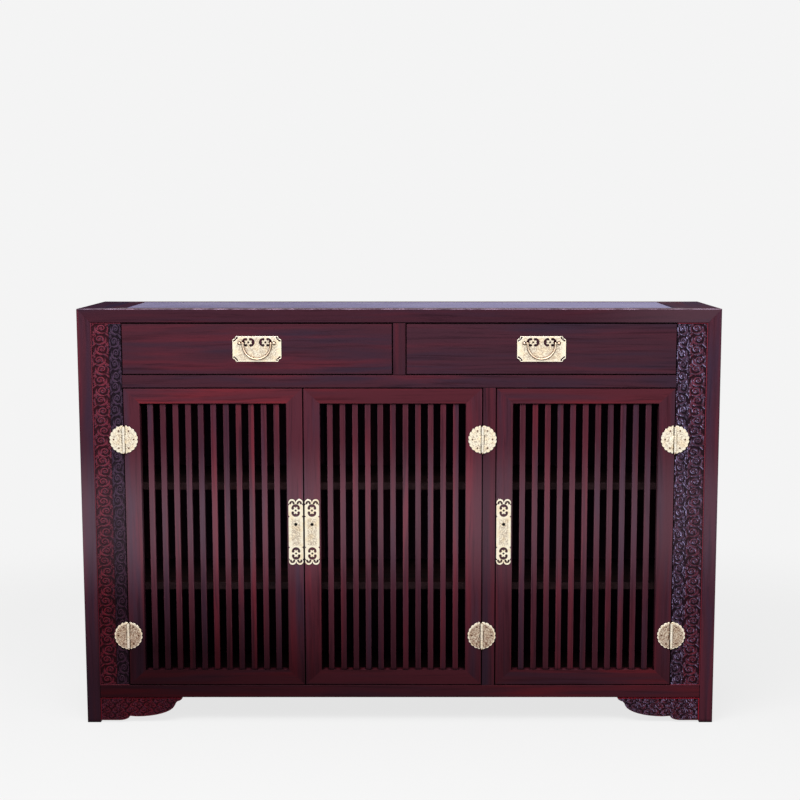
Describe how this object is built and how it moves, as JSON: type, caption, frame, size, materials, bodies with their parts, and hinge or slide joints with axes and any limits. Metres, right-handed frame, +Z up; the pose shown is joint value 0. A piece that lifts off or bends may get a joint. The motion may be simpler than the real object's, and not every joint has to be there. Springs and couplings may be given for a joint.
{
  "type": "tea cabinet",
  "caption": "Low long tea cabinet in dark carved rosewood with slatted doors that hinge, drawers with brass bail pulls, an inset polished top slab and cloud carved brackets",
  "frame": {"origin": "On the floor under the middle of the cabinet's box, which the bail pulls reach the front of", "axes": "+X to the right seen from the front, +Y to the back, +Z up; the doors face -Y"},
  "size_m": [1.6, 0.411, 1.056],
  "materials": {
    "rosewood": "satin lacquered",
    "rosewood_dark": "satin lacquered",
    "carved_wood": "carved, waxed",
    "inner_wood": "plain planed",
    "polished_slab": "polished, opaque",
    "brass": "soft polish",
    "steel": "plain"
  },
  "bodies": {
    "carcass": {"post_front_left": "rosewood", "post_front_right": "rosewood", "post_back_left": "rosewood", "post_back_right": "rosewood", "top_rail_front": "rosewood", "top_rail_back": "rosewood", "mid_rail": "rosewood", "drawer_stile": "rosewood", "door_stile": "rosewood", "bottom_rail_front": "rosewood", "bottom_rails_side": "rosewood", "side_panel_left": "rosewood", "side_panel_right": "rosewood", "top_end_left": "rosewood_dark", "top_end_right": "rosewood_dark", "back_frame": "rosewood_dark", "back_panels": "rosewood_dark", "top_slab": "polished_slab", "top_battens": "inner_wood", "bottom_board": "inner_wood", "partition": "inner_wood", "dust_boards": "inner_wood", "drawer_runners": "inner_wood", "shelves": "inner_wood", "shelf_cleats": "inner_wood", "carved_stile_left": "carved_wood", "carved_stile_right": "carved_wood", "bracket_left": "carved_wood", "bracket_right": "carved_wood", "door_catches": "steel", "hinge_leaves_fixed": "brass", "hinge_pins": "brass"},
    "door_left": {"door_left_stiles": "rosewood", "door_left_rails": "rosewood", "door_left_slats": "rosewood", "door_left_lock_plate": "brass", "door_left_hinge_leaves": "brass", "door_left_fittings": "steel"},
    "door_middle": {"door_middle_stiles": "rosewood", "door_middle_rails": "rosewood", "door_middle_slats": "rosewood", "door_middle_lock_plate": "brass", "door_middle_hinge_leaves": "brass", "door_middle_fittings": "steel"},
    "door_right": {"door_right_stiles": "rosewood", "door_right_rails": "rosewood", "door_right_slats": "rosewood", "door_right_lock_plate": "brass", "door_right_hinge_leaves": "brass", "door_right_fittings": "steel"},
    "drawer_left": {"drawer_left_front": "rosewood", "drawer_left_box": "inner_wood", "drawer_left_bottom": "inner_wood", "drawer_left_pull_plate": "brass"},
    "bail_left": {"bail_left": "brass"},
    "drawer_right": {"drawer_right_front": "rosewood", "drawer_right_box": "inner_wood", "drawer_right_bottom": "inner_wood", "drawer_right_pull_plate": "brass"},
    "bail_right": {"bail_right": "brass"}
  },
  "joints": [
    {"name": "door_left_hinge", "type": "hinge", "parent": "carcass", "child": "door_left", "pos_m": [-0.69, -0.1985, 0.479], "axis": [0, 0, -1], "range_deg": [0, 180]},
    {"name": "door_middle_hinge", "type": "hinge", "parent": "carcass", "child": "door_middle", "pos_m": [0.208, -0.1985, 0.479], "axis": [0, 0, 1], "range_deg": [0, 180]},
    {"name": "door_right_hinge", "type": "hinge", "parent": "carcass", "child": "door_right", "pos_m": [0.69, -0.1985, 0.479], "axis": [0, 0, 1], "range_deg": [0, 180]},
    {"name": "drawer_left_slide", "type": "slide", "parent": "carcass", "child": "drawer_left", "axis": [0, -1, 0], "range_m": [0, 0.26]},
    {"name": "drawer_right_slide", "type": "slide", "parent": "carcass", "child": "drawer_right", "axis": [0, -1, 0], "range_m": [0, 0.26]},
    {"name": "bail_left_hinge", "type": "hinge", "parent": "drawer_left", "child": "bail_left", "pos_m": [-0.3535, -0.201, 0.971], "axis": [-1, 0, 0], "range_deg": [0, 180]},
    {"name": "bail_right_hinge", "type": "hinge", "parent": "drawer_right", "child": "bail_right", "pos_m": [0.3535, -0.201, 0.971], "axis": [-1, 0, 0], "range_deg": [0, 180]}
  ]
}
